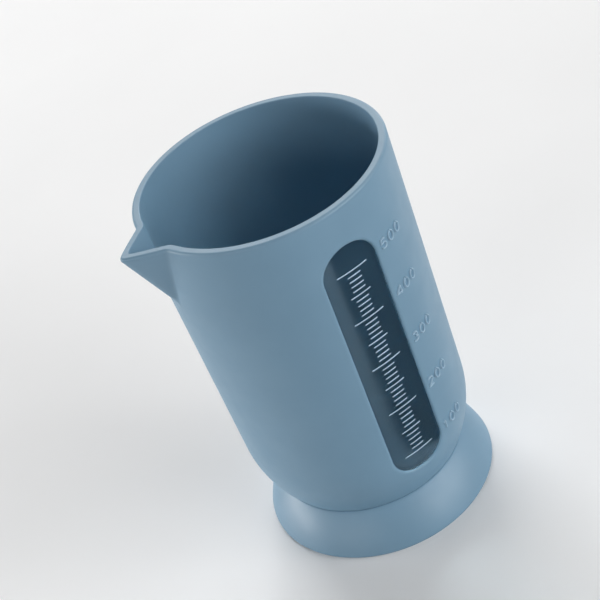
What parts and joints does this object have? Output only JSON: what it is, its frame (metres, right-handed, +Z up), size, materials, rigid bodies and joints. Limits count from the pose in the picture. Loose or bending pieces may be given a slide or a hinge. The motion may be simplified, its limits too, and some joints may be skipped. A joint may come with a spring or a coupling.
{
  "type": "measuring jug",
  "caption": "Footed measuring jug: a drafted cup with a beaked pouring spout, a clear sight window with a volume scale, and a flared foot.",
  "frame": {"origin": "on the cup's axis, in the plane of the foot's lower edge that stands on the table", "axes": "+Z up along the cup's axis, -X towards the spout, -Y towards the sight window"},
  "size_m": [0.0982, 0.0876, 0.1425],
  "materials": {
    "body": "satin moulded plastic, grey blue",
    "pane": "clear polished plastic",
    "marks": "white printed lines",
    "foot": "satin moulded plastic, grey blue"
  },
  "bodies": {
    "root": {"jug_body": "body", "sight_window": "pane", "scale_marks": "marks", "pedestal_foot": "foot"}
  },
  "joints": []
}
